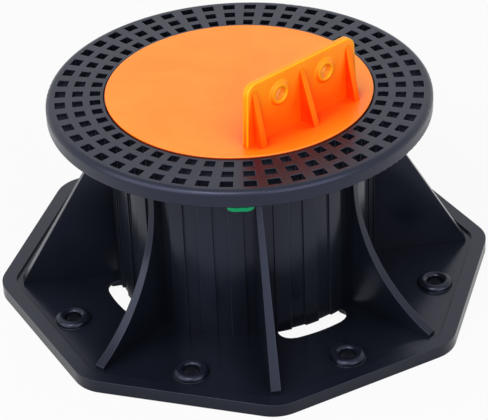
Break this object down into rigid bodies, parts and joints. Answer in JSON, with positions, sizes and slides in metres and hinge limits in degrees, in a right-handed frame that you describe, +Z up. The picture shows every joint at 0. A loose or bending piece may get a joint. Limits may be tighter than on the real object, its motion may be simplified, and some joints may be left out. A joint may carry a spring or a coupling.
{
  "type": "decking pedestal",
  "caption": "Adjustable plastic decking pedestal: ribbed octagonal base, perforated head that screws up and down, swivelling joist holder with an upright flange, and a sliding height lock.",
  "frame": {"origin": "on the pedestal's axis, at the ground", "axes": "+Z up along the axis of the tower and the thread; X and Y square to flats of the octagonal plate, with -Y the side that the flange roughly faces"},
  "size_m": [0.1852, 0.1852, 0.1094],
  "materials": {
    "black_plastic": "moulded satin",
    "orange_plastic": "moulded satin",
    "green_plastic": "moulded satin"
  },
  "bodies": {
    "base": {"base": "black_plastic", "tower": "black_plastic", "straight_ribs": "black_plastic", "curved_ribs": "black_plastic"},
    "joist_holder": {"joist_holder": "orange_plastic", "joist_flange": "orange_plastic", "flange_gussets": "orange_plastic"},
    "head": {"head": "black_plastic", "stem": "black_plastic"},
    "lock_key": {"lock_key": "green_plastic"}
  },
  "joints": [
    {"name": "height_adjust", "type": "slide", "parent": "base", "child": "joist_holder", "axis": [0, 0, 1], "range_m": [0, 0.04]},
    {"name": "head_turn", "type": "hinge", "parent": "joist_holder", "child": "head", "pos_m": [0, 0, 0.08], "axis": [0, 0, 1], "range_deg": [0, 1800]},
    {"name": "lock_slide", "type": "slide", "parent": "base", "child": "lock_key", "axis": [0.4924, 0.8704, 0], "range_m": [0, 0.0025]}
  ],
  "couplings": [
    {"joint": "height_adjust", "follows": "head_turn", "m_per_rad": 0.0012732}
  ]
}
